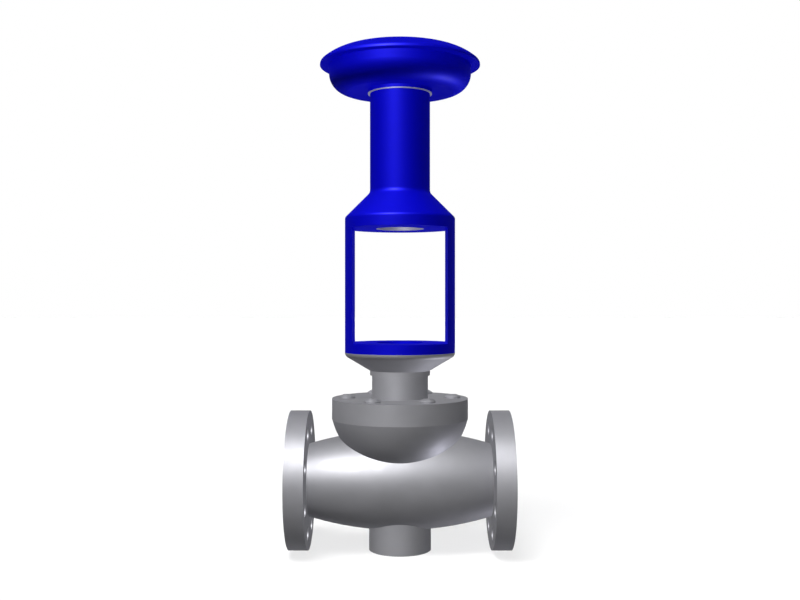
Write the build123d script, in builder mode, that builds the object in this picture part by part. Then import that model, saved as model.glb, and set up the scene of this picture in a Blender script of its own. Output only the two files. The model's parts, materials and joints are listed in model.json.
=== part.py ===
from build123d import *
import os
from math import asin, cos, degrees, radians, sin, tan

# Control valve: a flanged globe body with its bonnet below, a windowed yoke
# in the middle and a spring and diaphragm actuator on top.
# Millimetres. +Z runs up the stem, +X along the pipe towards the outlet.
# The origin is the centre of the round foot that the body stands on.

# Flanged body
face_to_face = 350.0
port_dia = 100.0
port_straight = 55.0
flange_dia = 220.0
flange_thickness = 30.5
flange_bolt_edge = 25.5
flange_bolt_count = 8
flange_bolt_hole = 23.0
foot_to_flange = 0.5
foot_dia = 99.0
body_end_wall = 7.6
body_mid_dia = 157.4
body_wall = 9.0
bowl_inset = 0.4
bowl_depth = 84.5
bowl_centre_rise = 24.0
axis_to_joint = 98.0
foot_wall = 13.5
drain_dia = 28.0
drain_plug_length = 32.5
drain_plug_recess = 1.0
drain_key_flats = 24.0
drain_key_depth = 14.0
drain_plug_chamfer = 2.0

# Seat, plug and stem
web_low = 7.5
web_thickness = 18.0
seat_thread = 92.0
seat_flange_lip = 5.0
seat_flange_height = 7.5
seat_gasket = 1.5
seat_ring_wall = 6.0
seat_land = 4.0
seat_angle = 45.0
chamber_gap = 1.0
chamber_straight = 25.0
chamber_flare = 14.0
lower_chamber_gap = 10.0
plug_height = 20.0
plug_nose = 26.0
plug_nose_dia = 26.0
plug_rim = 4.6
plug_lip = 1.2
plug_boss_dia = 32.0
plug_boss_height = 14.0
plug_top_gap = 0.8
stem_dia = 20.0
stem_in_plug = 15.0
stem_chamfer = 1.5
pin_dia = 5.0
pin_recess = 0.6

# Bonnet and packing box
bonnet_flange_inset = 1.5
bonnet_flange_thickness = 32.6
bonnet_bolt_edge = 24.5
bonnet_bolt_count = 6
bonnet_bolt = 16.0
bonnet_bolt_bite = 22.0
bonnet_bolt_end_gap = 4.5
bonnet_bolt_hole_gap = 0.5
bolt_head_dia = 24.6
bolt_head_height = 6.0
bolt_head_edge = 2.4
bolt_crown_dia = 12.8
bolt_key_flats = 8.0
bolt_key_depth = 3.0
bonnet_neck_dia = 89.6
bonnet_neck_height = 36.7
bonnet_top_wall = 6.0
gasket_width = 5.0
gasket_to_bolt = 1.0
gasket_thickness = 2.0
stem_bush_wall = 5.0
stem_bush_length = 36.0
stem_hole_gap = 0.6
packing_floor = 6.0
packing_width = 8.0
packing_ring_height = 8.0
packing_ring_count = 4
follower_length = 20.0
follower_head_gap = 1.0
follower_head = 6.0
gland_width = 6.0
gland_nut_height = 14.0
gland_slot = 6.0
gland_slot_depth = 3.0
gland_bore_gap = 0.5
gland_tightening = 2.0

# Yoke and its grey adapter
adapter_collar_lip = 3.2
adapter_collar_height = 7.3
adapter_cone_angle = 59.2
adapter_edge_radius = 9.2
adapter_land = 0.1
yoke_dia = 176.0
yoke_base = 15.4
yoke_ledge = 4.0
yoke_nut_height = 7.0
yoke_nut_slots = 4
yoke_nut_slot = 7.0
yoke_nut_gap = 0.5
yoke_nut_above_bonnet = 1.2
window_width = 148.4
window_height = 181.8
yoke_head = 17.7
yoke_shoulder_radius = 6.0
yoke_neck_radius = 10.0
barrel_bore = 76.8
barrel_wall = 9.6

# Actuator stem, stem connector and guide tube
stroke = 30.0
thread_bite = 12.0
valve_stem_below_floor = 4.6
connector_above_ceiling = 7.6
stem_above_connector = 2.0
connector_wall = 8.0
connector_flat_depth = 3.0
connector_flats_length = 18.0
set_screw = 6.0
set_screw_from_end = 6.0
set_screw_gap = 0.5
set_screw_recess = 0.6
liner_wall = 3.0
liner_flange = 1.4
ring_above_ceiling = 6.0
ring_thickness = 2.0
ring_width = 4.4
ring_groove = 1.5
ring_gap_angle = 40.0
ring_lug_hole = 2.0
ring_lug_angle = 4.5
spring_seat_height = 6.0
guide_tube_gap = 1.0
guide_tube_wall = 4.0
guide_bush_gap = 2.0
guide_bush_length = 16.0
guide_tube_above_barrel = 0.4
hub_gap = 3.0
spring_wire = 7.0
spring_side_gap = 0.9
spring_turns = 9

# Diaphragm casing
casing_wall = 4.5
collar_lip = 3.2
collar_height = 5.1
casing_screw = 5.0
casing_screw_head = 8.5
casing_screw_head_height = 5.0
casing_screw_bite = 14.0
casing_screw_end_gap = 1.0
casing_screw_count = 6
pan_inset = 14.5
pan_edge_drop = 3.7
pan_edge_radius = 28.8
rim_dia = 255.6
rim_skirt = 4.8
rim_edge_radius = 6.5
rim_drop = 8.2
pan_flange = 3.0
lid_height = 26.0
lid_dome_radius = 86.0
lid_edge_slope = 40.0
lid_chamber_rise = 3.6
port_boss_dia = 48.0
port_boss_height = 11.4
port_boss_edge = 2.0
air_port = 11.4
nut_recess_dia = 40.0
nut_recess_gap = 2.5
vent_thread = 9.6
vent_bore = 3.0
vent_head_flats = 11.0
vent_head_length = 7.0

# Diaphragm and plate
plate_gap = 1.8
roll_width = 16.8
plate_depth = 10.0
plate_thickness = 5.0
plate_edge_radius = 2.0
plate_skirt = 4.0
plate_hub_gap = 0.5
diaphragm_thickness = 1.6
diaphragm_bend = 2.5
diaphragm_side_gap = 1.2
clamp_plate_inset = 32.0
clamp_plate_thickness = 2.5
stem_end_dia = 16.0
stem_end_chamfer = 1.0
stem_nut_flats = 24.0
stem_nut_height = 10.0
stem_end_above_nut = 1.5

# Clearances: a running fit on the radius, a seated fit on the radius, a
# seated plug off its seat, and a spring's ground end off its seat
running_gap = 0.06
fit_gap = 0.03
seat_gap = 0.3
spring_end_gap = 0.1
thread_gap = 0.1

# Diameters that follow from their neighbours
flange_bolt_circle = flange_dia - 2 * flange_bolt_edge
body_end_dia = port_dia + 2 * body_end_wall
drain_thread = foot_dia - 2 * foot_wall
bonnet_flange_dia = flange_dia - 2 * bonnet_flange_inset
bowl_dia = bonnet_flange_dia - 2 * bowl_inset
bonnet_bolt_circle = bonnet_flange_dia - 2 * bonnet_bolt_edge
throat_dia = bonnet_bolt_circle - bonnet_bolt - 2 * (gasket_to_bolt + gasket_width)
seat_bore = seat_thread - 2 * seat_ring_wall
seat_flange_dia = seat_thread + 2 * seat_flange_lip
chamber_dia = seat_flange_dia + 2 * chamber_gap
lower_chamber_dia = seat_thread + 2 * lower_chamber_gap
stem_bush_dia = stem_dia + 2 * stem_bush_wall
packing_dia = stem_dia + 2 * packing_width
gland_thread = packing_dia + 2 * gland_width
follower_head_dia = gland_thread - 2 * follower_head_gap
bonnet_thread = gland_thread + 2 * bonnet_top_wall
adapter_collar_dia = bonnet_neck_dia + 2 * adapter_collar_lip
barrel_dia = barrel_bore + 2 * barrel_wall
liner_bore = barrel_bore - 2 * liner_wall
collar_dia = barrel_dia + 2 * collar_lip
connector_dia = stem_dia + 2 * connector_wall
guide_tube_bore = connector_dia + 2 * guide_tube_gap
guide_tube_dia = guide_tube_bore + 2 * guide_tube_wall
spring_mean_dia = liner_bore - spring_wire - 2 * spring_side_gap
pan_dia = rim_dia - 2 * pan_inset
plate_dia = pan_dia - 2 * (casing_wall + roll_width)
plate_hub_dia = spring_mean_dia - spring_wire - 2 * plate_hub_gap
clamp_plate_dia = plate_dia - 2 * clamp_plate_inset

# Heights of the body, from the foot up
axis_z = flange_dia / 2 + foot_to_flange
joint_z = axis_z + axis_to_joint
bowl_centre_z = joint_z + bowl_centre_rise
bowl_half_height = bowl_centre_rise + bowl_depth
bowl_edge_angle = degrees(asin(bowl_centre_rise / bowl_half_height))
bowl_half_width = bowl_dia / 2 / cos(radians(bowl_edge_angle))
web_low_z = axis_z - web_low
web_top_z = web_low_z + web_thickness
seat_top_z = web_top_z + seat_gasket + seat_flange_height
seat_cone_z = seat_top_z - seat_land / tan(radians(seat_angle))
chamber_top_z = web_top_z + chamber_straight
plug_shoulder_z = seat_top_z + plug_lip
plug_top_z = plug_shoulder_z + plug_height
plug_boss_z = plug_top_z + plug_boss_height

# Heights of the bonnet
bonnet_low_z = plug_boss_z + stroke + plug_top_gap
bonnet_flange_z = joint_z + bonnet_flange_thickness
bonnet_neck_z = bonnet_flange_z + bonnet_neck_height
packing_low_z = bonnet_low_z + stem_bush_length + packing_floor
packing_top_z = packing_low_z + packing_ring_count * packing_ring_height
follower_head_z = packing_top_z + follower_length
gland_low_z = follower_head_z + follower_head
gland_top_z = gland_low_z + gland_nut_height

# Heights of the yoke
adapter_cone_z = bonnet_neck_z + adapter_collar_height
cone_slope = radians(adapter_cone_angle)
adapter_rim_z = adapter_cone_z + (yoke_dia - adapter_collar_dia) / 2 / tan(cone_slope)
yoke_low_z = adapter_rim_z + adapter_edge_radius * tan(cone_slope / 2) + adapter_land
window_floor_z = yoke_low_z + yoke_base
window_ceiling_z = window_floor_z + window_height
yoke_nut_z = yoke_low_z + yoke_ledge
bonnet_top_z = yoke_nut_z + yoke_nut_height - yoke_nut_above_bonnet
cone_low_z = window_ceiling_z + yoke_head
cone_top_z = cone_low_z + (yoke_dia - barrel_dia) / 2

# Heights of the stems: run down, the connector bites on both stems
valve_stem_top_z = window_floor_z - valve_stem_below_floor
connector_low_z = window_ceiling_z + connector_above_ceiling
actuator_stem_low_z = connector_low_z + stem_above_connector
joined_low_z = valve_stem_top_z + stroke - thread_bite
connector_length = actuator_stem_low_z + thread_bite - joined_low_z
connector_travel = connector_low_z - joined_low_z
connector_top_z = connector_low_z + connector_length
ring_z = window_ceiling_z + ring_above_ceiling
spring_seat_z = ring_z + ring_thickness
spring_low_z = spring_seat_z + spring_seat_height
guide_bush_z = connector_top_z + guide_bush_gap
guide_tube_top_z = guide_bush_z + guide_bush_length
barrel_top_z = guide_tube_top_z - guide_tube_above_barrel
hub_low_z = guide_tube_top_z + hub_gap + stroke

# Heights of the casing
collar_low_z = barrel_top_z + liner_flange
collar_top_z = collar_low_z + collar_height
pan_floor_z = collar_top_z + casing_wall
pan_low_z = collar_top_z - pan_edge_drop
skirt_low_z = pan_floor_z + plate_gap + stroke
plate_top_z = skirt_low_z + plate_depth
plate_low_z = plate_top_z - plate_thickness
rim_low_z = plate_top_z - rim_drop
clamp_low_z = rim_low_z + pan_flange
clamp_top_z = clamp_low_z + diaphragm_thickness
lid_top_z = rim_low_z + lid_height
lid_ceiling_z = lid_top_z - casing_wall
port_boss_top_z = lid_top_z + port_boss_height
clamp_plate_z = plate_top_z + diaphragm_thickness
stem_nut_z = clamp_plate_z + clamp_plate_thickness
stem_top_z = stem_nut_z + stem_nut_height + stem_end_above_nut
recess_top_z = stem_top_z + nut_recess_gap

pipe_axis = Axis((0, 0, axis_z), (1, 0, 0))


def section(*outline):
    """Closed outline of (radius, height) points beside the stem axis."""
    with BuildSketch(Plane.XZ) as profile:
        with BuildLine():
            Polyline(*outline, close=True)
        make_face()
    return profile.sketch


def ring(inner_dia, outer_dia, low_z, top_z):
    """Cross-section of a plain round ring about the stem axis."""
    inner = inner_dia / 2
    outer = outer_dia / 2
    return section((inner, low_z), (outer, low_z), (outer, top_z), (inner, top_z))


def hexagon(flats):
    """Radius to the corners of a hexagon of this width across its flats."""
    return flats / 2 / cos(radians(30))


def passage(half_length, end_radius, middle_radius):
    """Half outline of a barrel shape along the pipe, bulging at the middle."""
    with BuildSketch(Plane.XZ) as profile:
        with BuildLine():
            low_left = (-half_length, axis_z)
            high_left = (-half_length, axis_z + end_radius)
            crown = (0, axis_z + middle_radius)
            high_right = (half_length, axis_z + end_radius)
            low_right = (half_length, axis_z)
            Line(low_left, high_left)
            ThreePointArc(high_left, crown, high_right)
            Polyline(high_right, low_right, low_left)
        make_face()
    return profile.sketch


def flange_plane(side):
    """Plane of a pipe flange's joint face, looking out of the body."""
    origin = (side * face_to_face / 2, 0, axis_z)
    return Plane(origin=origin, x_dir=(0, 1, 0), z_dir=(side, 0, 0))


# Flow spaces inside the casting
half_length = face_to_face / 2
port_r = port_dia / 2
inner_half_length = half_length - port_straight
inner_mid_r = body_mid_dia / 2 - body_wall
chamber_r = chamber_dia / 2
throat_r = throat_dia / 2
lower_chamber_r = lower_chamber_dia / 2
flare_top_z = chamber_top_z + chamber_flare

with BuildPart() as inlet_space:
    revolve(passage(inner_half_length, port_r, inner_mid_r), axis=pipe_axis)
    with BuildSketch(Plane.XY):
        with Locations((-half_length / 2 - body_wall, 0)):
            Rectangle(half_length - 2 * body_wall, flange_dia)
        Circle(lower_chamber_r)
    extrude(amount=joint_z, mode=Mode.INTERSECT)
    cup = section(
        (0, web_low_z),
        (chamber_r + body_wall, web_low_z),
        (chamber_r + body_wall, chamber_top_z),
        (throat_r + body_wall, flare_top_z),
        (throat_r + body_wall, joint_z),
        (0, joint_z),
    )
    revolve(cup, axis=Axis.Z, mode=Mode.SUBTRACT)

with BuildPart() as outlet_space:
    revolve(passage(inner_half_length, port_r, inner_mid_r), axis=pipe_axis)
    with BuildSketch(Plane.XY):
        with Locations((half_length / 2, 0)):
            Rectangle(half_length, flange_dia)
    extrude(amount=joint_z, mode=Mode.INTERSECT)
    bottom_wall = ring(0, lower_chamber_dia + 2 * body_wall, 0, web_top_z)
    revolve(bottom_wall, axis=Axis.Z, mode=Mode.SUBTRACT)

with BuildPart() as chamber_space:
    chamber = section(
        (0, web_top_z),
        (chamber_r, web_top_z),
        (chamber_r, chamber_top_z),
        (throat_r, flare_top_z),
        (throat_r, joint_z),
        (0, joint_z),
    )
    revolve(chamber, axis=Axis.Z)

# Valve body: one casting with its flanges, bowl and foot
with BuildPart() as valve_body:
    outer_half_length = half_length - flange_thickness
    revolve(passage(outer_half_length, body_end_dia / 2, body_mid_dia / 2), axis=pipe_axis)
    for side in (-1, 1):
        with BuildSketch(flange_plane(side)):
            Circle(flange_dia / 2)
            with PolarLocations(flange_bolt_circle / 2, flange_bolt_count, 180 / flange_bolt_count):
                Circle(flange_bolt_hole / 2, mode=Mode.SUBTRACT)
        extrude(amount=-flange_thickness)
    with BuildSketch(Plane.XZ):
        with BuildLine():
            bowl = EllipticalCenterArc(
                (0, bowl_centre_z),
                bowl_half_width,
                bowl_half_height,
                start_angle=-90,
                arc_size=90 - bowl_edge_angle,
            )
            Polyline(bowl @ 1, (0, joint_z), bowl @ 0)
        make_face()
    revolve(axis=Axis.Z)
    revolve(ring(0, foot_dia, 0, axis_z), axis=Axis.Z)
    add(inlet_space.part, mode=Mode.SUBTRACT)
    add(outlet_space.part, mode=Mode.SUBTRACT)
    add(chamber_space.part, mode=Mode.SUBTRACT)
    for side in (-1, 1):
        with BuildSketch(flange_plane(side)):
            Circle(port_r)
        extrude(amount=-port_straight, mode=Mode.SUBTRACT)
    revolve(ring(0, seat_thread, web_low_z, web_top_z), axis=Axis.Z, mode=Mode.SUBTRACT)
    gasket_recess = ring(0, throat_dia + 2 * gasket_width, joint_z - gasket_thickness, joint_z)
    revolve(gasket_recess, axis=Axis.Z, mode=Mode.SUBTRACT)
    with Locations((0, 0, joint_z)):
        with PolarLocations(bonnet_bolt_circle / 2, bonnet_bolt_count):
            Hole(bonnet_bolt / 2 + fit_gap, depth=bonnet_bolt_bite + bonnet_bolt_end_gap)
    drain_shoulder_z = drain_plug_recess + drain_plug_length
    drain_hole = section(
        (0, 0),
        (drain_thread / 2, 0),
        (drain_thread / 2, drain_shoulder_z),
        (drain_dia / 2, drain_shoulder_z),
        (drain_dia / 2, axis_z - inner_mid_r + body_wall),
        (0, axis_z - inner_mid_r + body_wall),
    )
    revolve(drain_hole, axis=Axis.Z, mode=Mode.SUBTRACT)

# Drain plug, screwed into the hollow foot, with a hexagon socket underneath
with BuildPart() as drain_plug:
    revolve(ring(0, drain_thread - 2 * fit_gap, drain_plug_recess, drain_shoulder_z), axis=Axis.Z)
    with BuildSketch(Plane.XY.offset(drain_plug_recess)):
        RegularPolygon(hexagon(drain_key_flats), 6)
    extrude(amount=drain_key_depth, mode=Mode.SUBTRACT)
    chamfer(edges().group_by(Axis.Z)[-1], drain_plug_chamfer)

# Seat ring, screwed into the web, with a bevelled seat at its top
seat_r = seat_bore / 2
with BuildPart() as seat_ring:
    seat = section(
        (seat_r, web_low_z),
        (seat_thread / 2 - fit_gap, web_low_z),
        (seat_thread / 2 - fit_gap, web_top_z + seat_gasket),
        (seat_flange_dia / 2, web_top_z + seat_gasket),
        (seat_flange_dia / 2, seat_top_z),
        (seat_r + seat_land, seat_top_z),
        (seat_r, seat_cone_z),
    )
    revolve(seat, axis=Axis.Z)

with BuildPart() as seat_ring_gasket:
    revolve(ring(seat_thread, seat_flange_dia, web_top_z, web_top_z + seat_gasket), axis=Axis.Z)

# Valve plug: a rounded nose that meters the flow, a bevel that shuts on the
# seat and a boss for the stem
plug_face_r = seat_r - seat_gap / cos(radians(seat_angle))
plug_rim_r = plug_face_r + (plug_shoulder_z - seat_cone_z) * tan(radians(seat_angle))
pin_z = plug_top_z + plug_boss_height / 2
with BuildPart() as valve_plug:
    with BuildSketch(Plane.XZ):
        with BuildLine():
            nose_low = (plug_nose_dia / 2, seat_cone_z - plug_nose)
            nose_top = (plug_face_r, seat_cone_z)
            Line((0, seat_cone_z - plug_nose), nose_low)
            TangentArc(nose_top, nose_low, tangent=(0, -1))
            Polyline(
                nose_top,
                (plug_rim_r, plug_shoulder_z),
                (plug_rim_r, plug_top_z - plug_rim),
                (plug_rim_r - plug_rim, plug_top_z),
                (plug_boss_dia / 2, plug_top_z),
                (plug_boss_dia / 2, plug_boss_z),
                (0, plug_boss_z),
                (0, seat_cone_z - plug_nose),
            )
        make_face()
    revolve(axis=Axis.Z)
    with Locations((0, 0, plug_boss_z)):
        Hole(stem_dia / 2 + fit_gap, depth=plug_boss_height + stem_in_plug)
    with Locations(Plane((0, 0, pin_z), z_dir=(0, 1, 0))):
        Hole(pin_dia / 2 + fit_gap)

with BuildPart() as valve_stem:
    revolve(ring(0, stem_dia, plug_top_z - stem_in_plug, valve_stem_top_z), axis=Axis.Z)
    chamfer(edges().group_by(Axis.Z)[-1], stem_chamfer)
    with Locations(Plane((0, 0, pin_z), z_dir=(0, 1, 0))):
        Hole(pin_dia / 2 + fit_gap)

with BuildPart() as plug_pin:
    with BuildSketch(Plane((0, 0, pin_z), z_dir=(0, 1, 0))):
        Circle(pin_dia / 2)
    extrude(amount=plug_boss_dia / 2 - pin_recess, both=True)

# Bonnet: spigot, bolted flange, neck and the threaded top that holds the yoke
with BuildPart() as bonnet:
    throat_fit = throat_r - thread_gap
    stem_hole_r = stem_dia / 2 + stem_hole_gap
    gland_floor_z = follower_head_z - gland_tightening
    outline = section(
        (stem_bush_dia / 2, bonnet_low_z),
        (throat_fit, bonnet_low_z),
        (throat_fit, joint_z),
        (bonnet_flange_dia / 2, joint_z),
        (bonnet_flange_dia / 2, bonnet_flange_z),
        (bonnet_neck_dia / 2, bonnet_flange_z),
        (bonnet_neck_dia / 2, bonnet_neck_z),
        (bonnet_thread / 2, bonnet_neck_z),
        (bonnet_thread / 2, bonnet_top_z),
        (gland_thread / 2, bonnet_top_z),
        (gland_thread / 2, gland_floor_z),
        (packing_dia / 2, gland_floor_z),
        (packing_dia / 2, packing_low_z),
        (stem_hole_r, packing_low_z),
        (stem_hole_r, packing_low_z - packing_floor),
        (stem_bush_dia / 2, packing_low_z - packing_floor),
    )
    revolve(outline, axis=Axis.Z)
    with Locations((0, 0, bonnet_flange_z)):
        with PolarLocations(bonnet_bolt_circle / 2, bonnet_bolt_count):
            Hole(bonnet_bolt / 2 + bonnet_bolt_hole_gap, depth=bonnet_flange_thickness)

with BuildPart() as bonnet_gasket:
    gasket_dia = throat_dia + 2 * gasket_width
    gasket = ring(throat_dia, gasket_dia - 2 * fit_gap, joint_z - gasket_thickness, joint_z)
    revolve(gasket, axis=Axis.Z)

# Bonnet bolts: low domed heads with a hexagon socket
with BuildPart() as bonnet_bolts:
    head_edge_z = bonnet_flange_z + bolt_head_edge
    head_top_z = bonnet_flange_z + bolt_head_height
    with BuildSketch(Plane.XZ):
        with BuildLine():
            crown_edge = (bolt_head_dia / 2, head_edge_z)
            crown_top = (bolt_crown_dia / 2, head_top_z)
            shank_low = joint_z - bonnet_bolt_bite
            RadiusArc(crown_edge, crown_top, -bolt_head_dia)
            Polyline(
                crown_top,
                (0, head_top_z),
                (0, shank_low),
                (bonnet_bolt / 2, shank_low),
                (bonnet_bolt / 2, bonnet_flange_z),
                (bolt_head_dia / 2, bonnet_flange_z),
                crown_edge,
            )
        make_face()
    revolve(axis=Axis.Z)
    with BuildSketch(Plane.XY.offset(head_top_z)):
        RegularPolygon(hexagon(bolt_key_flats), 6)
    extrude(amount=-bolt_key_depth, mode=Mode.SUBTRACT)
bolt_places = PolarLocations(bonnet_bolt_circle / 2, bonnet_bolt_count).locations
bonnet_bolt_set = Compound([place * bonnet_bolts.part for place in bolt_places])

# Guide bush, packing, follower and gland nut around the valve stem
running_bore = stem_dia + 2 * running_gap
with BuildPart() as stem_bush:
    bush_dia = stem_bush_dia - 2 * fit_gap
    bush = ring(running_bore, bush_dia, bonnet_low_z, bonnet_low_z + stem_bush_length)
    revolve(bush, axis=Axis.Z)

with BuildPart() as packing_rings:
    for index in range(packing_ring_count):
        low = packing_low_z + index * packing_ring_height
        top = low + packing_ring_height - fit_gap
        revolve(ring(running_bore, packing_dia - 2 * fit_gap, low, top), axis=Axis.Z)

with BuildPart() as packing_follower:
    follower = section(
        (running_bore / 2, packing_top_z),
        (packing_dia / 2 - fit_gap, packing_top_z),
        (packing_dia / 2 - fit_gap, follower_head_z),
        (follower_head_dia / 2, follower_head_z),
        (follower_head_dia / 2, gland_low_z),
        (running_bore / 2, gland_low_z),
    )
    revolve(follower, axis=Axis.Z)

with BuildPart() as gland_nut:
    gland_bore = stem_dia + 2 * gland_bore_gap
    gland = ring(gland_bore, gland_thread - 2 * fit_gap, gland_low_z, gland_top_z)
    revolve(gland, axis=Axis.Z)
    with BuildSketch(Plane.XY.offset(gland_top_z)):
        Rectangle(gland_thread, gland_slot)
        Rectangle(gland_slot, gland_thread)
    extrude(amount=-gland_slot_depth, mode=Mode.SUBTRACT)

# Adapter: collar and cone between the bonnet's neck and the yoke
with BuildPart() as yoke_adapter:
    cone = section(
        (bonnet_thread / 2 + fit_gap, bonnet_neck_z),
        (adapter_collar_dia / 2, bonnet_neck_z),
        (adapter_collar_dia / 2, adapter_cone_z),
        (yoke_dia / 2, adapter_rim_z),
        (yoke_dia / 2, yoke_low_z),
        (bonnet_thread / 2 + fit_gap, yoke_low_z),
    )
    revolve(cone, axis=Axis.Z)
    upper_edge = edges().filter_by(GeomType.CIRCLE).group_by(Axis.Z)[-2]
    fillet(upper_edge, adapter_edge_radius)

# Slotted ring nut that clamps the yoke down on the adapter
with BuildPart() as yoke_nut:
    nut_top_z = yoke_nut_z + yoke_nut_height
    nut_dia = barrel_bore - 2 * yoke_nut_gap
    revolve(ring(bonnet_thread + 2 * fit_gap, nut_dia, yoke_nut_z, nut_top_z), axis=Axis.Z)
    with BuildSketch(Plane.XY.offset(nut_top_z)):
        with PolarLocations(nut_dia / 2, yoke_nut_slots, 180 / yoke_nut_slots):
            Rectangle(yoke_nut_slot, yoke_nut_slot)
    extrude(amount=-yoke_nut_height, mode=Mode.SUBTRACT)

# Yoke: base, two legs, cone and barrel in one piece
screw_circle = (barrel_dia + barrel_bore) / 4
with BuildPart() as yoke:
    outline = section(
        (bonnet_thread / 2 + fit_gap, yoke_low_z),
        (yoke_dia / 2, yoke_low_z),
        (yoke_dia / 2, cone_low_z),
        (barrel_dia / 2, cone_top_z),
        (barrel_dia / 2, barrel_top_z),
        (barrel_bore / 2, barrel_top_z),
        (barrel_bore / 2, yoke_nut_z),
        (bonnet_thread / 2 + fit_gap, yoke_nut_z),
    )
    revolve(outline, axis=Axis.Z)
    outer_edges = edges().filter_by(GeomType.CIRCLE).filter_by(lambda edge: edge.radius > screw_circle)
    fillet(outer_edges.group_by(Axis.Z)[1], yoke_shoulder_radius)
    outer_edges = edges().filter_by(GeomType.CIRCLE).filter_by(lambda edge: edge.radius > screw_circle)
    fillet(outer_edges.group_by(Axis.Z)[-2], yoke_neck_radius)
    with BuildSketch(Plane.XY.offset(window_floor_z)):
        Rectangle(window_width, 2 * yoke_dia)
    extrude(amount=window_height, mode=Mode.SUBTRACT)
    with Locations((0, 0, barrel_top_z)):
        with PolarLocations(screw_circle, casing_screw_count):
            Hole(casing_screw / 2 + fit_gap, depth=casing_screw_bite + casing_screw_end_gap)

# Grey liner of the barrel, hung from its thin top flange
with BuildPart() as barrel_liner:
    liner = section(
        (liner_bore / 2, window_ceiling_z),
        (barrel_bore / 2 - fit_gap, window_ceiling_z),
        (barrel_bore / 2 - fit_gap, barrel_top_z),
        (collar_dia / 2, barrel_top_z),
        (collar_dia / 2, collar_low_z),
        (liner_bore / 2, collar_low_z),
    )
    revolve(liner, axis=Axis.Z)
    groove = ring(0, liner_bore + 2 * ring_groove, ring_z, spring_seat_z)
    revolve(groove, axis=Axis.Z, mode=Mode.SUBTRACT)
    with Locations((0, 0, collar_low_z)):
        with PolarLocations(screw_circle, casing_screw_count):
            Hole(casing_screw / 2 + thread_gap, depth=liner_flange)

# Retaining ring that carries the spring seat in the liner's groove
with BuildPart() as retaining_ring:
    ring_r = liner_bore / 2 + ring_groove - fit_gap
    half_gap = radians(ring_gap_angle / 2)
    with BuildSketch(Plane.XY.offset(ring_z)):
        Circle(ring_r)
        Circle(ring_r - ring_width, mode=Mode.SUBTRACT)
        with BuildLine():
            left = (-2 * ring_r * sin(half_gap), 2 * ring_r * cos(half_gap))
            right = (2 * ring_r * sin(half_gap), 2 * ring_r * cos(half_gap))
            Polyline((0, 0), left, right, close=True)
        make_face(mode=Mode.SUBTRACT)
        lug_angle = ring_gap_angle / 2 + ring_lug_angle
        with PolarLocations(ring_r - ring_width / 2, 2, 90 - lug_angle, 2 * lug_angle, endpoint=True):
            Circle(ring_lug_hole / 2, mode=Mode.SUBTRACT)
    extrude(amount=ring_thickness - fit_gap)

# Guide tube: the spring's lower seat and the tube that the connector is
# stowed in, with the bush for the actuator stem at its top
with BuildPart() as guide_tube:
    tube = section(
        (guide_tube_bore / 2, spring_seat_z),
        (liner_bore / 2 - fit_gap, spring_seat_z),
        (liner_bore / 2 - fit_gap, spring_low_z),
        (guide_tube_dia / 2, spring_low_z),
        (guide_tube_dia / 2, guide_tube_top_z),
        (guide_tube_bore / 2, guide_tube_top_z),
    )
    revolve(tube, axis=Axis.Z)

with BuildPart() as guide_bush:
    bush_dia = guide_tube_bore - 2 * fit_gap
    revolve(ring(running_bore, bush_dia, guide_bush_z, guide_tube_top_z), axis=Axis.Z)

# Return spring with both ends ground flat
with BuildPart() as return_spring:
    spring_low = spring_low_z + spring_end_gap
    spring_top = plate_low_z - spring_end_gap
    spring_height = spring_top - spring_low
    with BuildLine():
        coil = Helix(spring_height / spring_turns, spring_height, spring_mean_dia / 2,
                     center=(0, 0, spring_low))
    with BuildSketch(Plane(coil @ 0, z_dir=coil % 0)):
        Circle(spring_wire / 2)
    sweep(is_frenet=True)
    with BuildSketch(Plane.XY.offset(spring_low)):
        Circle(spring_mean_dia)
    extrude(amount=spring_height, mode=Mode.INTERSECT)

# Actuator stem with a thinner threaded end through the plate
with BuildPart() as actuator_stem:
    stem = section(
        (0, actuator_stem_low_z),
        (stem_dia / 2, actuator_stem_low_z),
        (stem_dia / 2, hub_low_z),
        (stem_end_dia / 2, hub_low_z),
        (stem_end_dia / 2, stem_top_z),
        (0, stem_top_z),
    )
    revolve(stem, axis=Axis.Z)
    chamfer(edges().group_by(Axis.Z)[0], stem_chamfer)
    chamfer(edges().group_by(Axis.Z)[-1], stem_end_chamfer)

# Stem connector: a long threaded sleeve with wrench flats at its lower end
set_screw_heights = [connector_low_z + set_screw_from_end, connector_top_z - set_screw_from_end]
with BuildPart() as stem_connector:
    revolve(ring(running_bore, connector_dia, connector_low_z, connector_top_z), axis=Axis.Z)
    with BuildSketch(Plane.XY.offset(connector_low_z)):
        for side in (-1, 1):
            with Locations((0, side * (connector_dia - connector_flat_depth) / 2)):
                Rectangle(connector_dia, connector_flat_depth)
    extrude(amount=connector_flats_length, mode=Mode.SUBTRACT)
    for height in set_screw_heights:
        with Locations(Plane((0, 0, height), z_dir=(1, 0, 0))):
            Hole(set_screw / 2 + fit_gap)

with BuildPart() as connector_screws:
    screw_start = stem_dia / 2 + set_screw_gap
    screw_length = connector_dia / 2 - screw_start - set_screw_recess
    for height in set_screw_heights:
        for side in (-1, 1):
            with BuildSketch(Plane((side * screw_start, 0, height), z_dir=(side, 0, 0))):
                Circle(set_screw / 2)
            extrude(amount=screw_length)
            with BuildSketch(Plane((side * (screw_start + screw_length), 0, height), z_dir=(side, 0, 0))):
                RegularPolygon(hexagon(set_screw / 2), 6)
            extrude(amount=-set_screw / 2, mode=Mode.SUBTRACT)

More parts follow.
